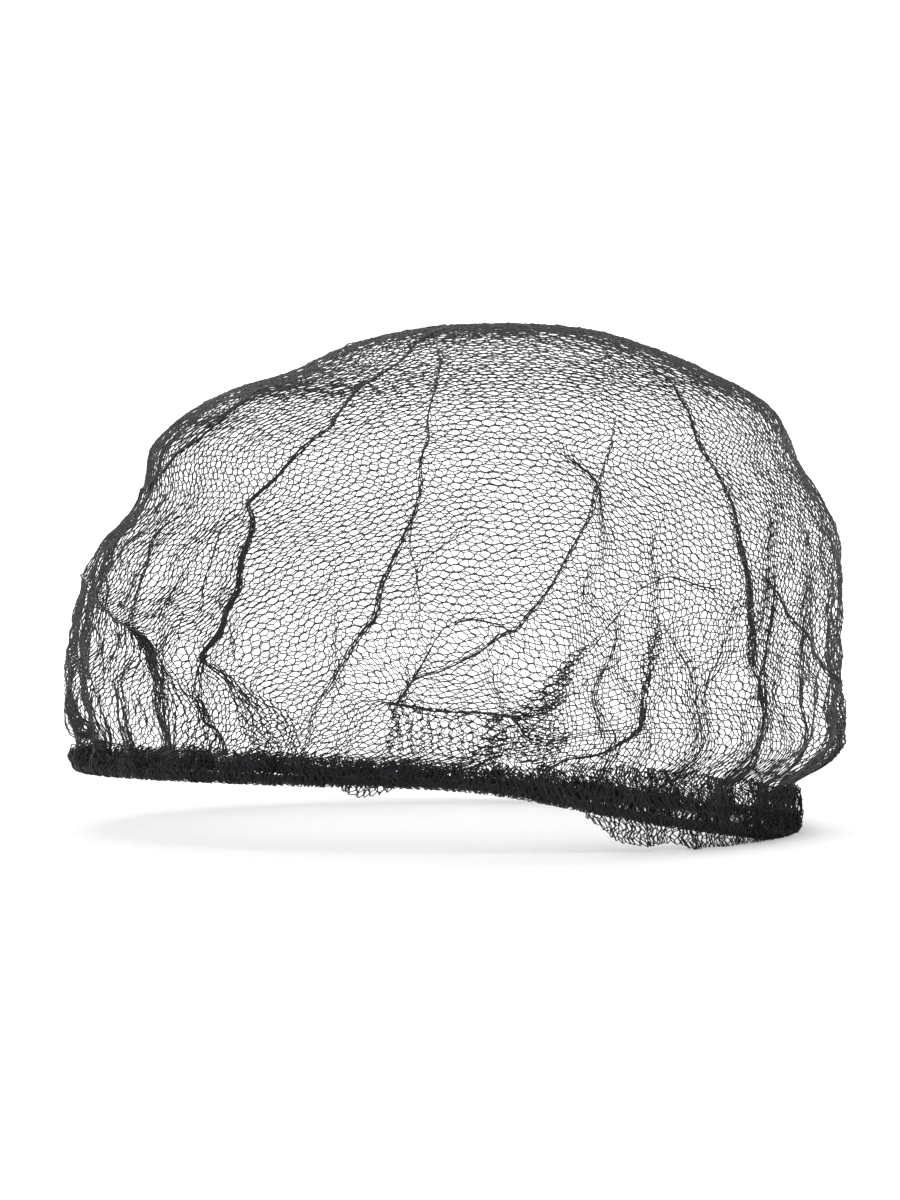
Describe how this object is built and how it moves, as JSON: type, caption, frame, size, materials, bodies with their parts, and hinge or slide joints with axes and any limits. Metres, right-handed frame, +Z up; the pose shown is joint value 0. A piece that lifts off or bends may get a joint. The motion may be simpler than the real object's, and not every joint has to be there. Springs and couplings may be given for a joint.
{
  "type": "hairnet",
  "caption": "Dome of honeycomb net gathered on an elastic band around an open underside, with loose creases, a rolled hem and small ruffles; worn over hair",
  "frame": {"origin": "the middle of the opening, where the head that wears the net goes in", "axes": "+Z up, +X along the longest side towards the low end of the hem, -Y towards the pictured front"},
  "size_m": [0.2716, 0.2208, 0.1822],
  "materials": {
    "net": "black nylon filament, knitted as open honeycomb net",
    "gathers": "black nylon net gathered in many layers",
    "elastic": "black covered elastic cord, matte"
  },
  "bodies": {
    "root": {"crown_net": "net", "gathered_hem": "gathers", "elastic_band": "elastic", "hem_ruffle_right": "gathers", "hem_ruffle_front": "gathers"}
  },
  "joints": []
}
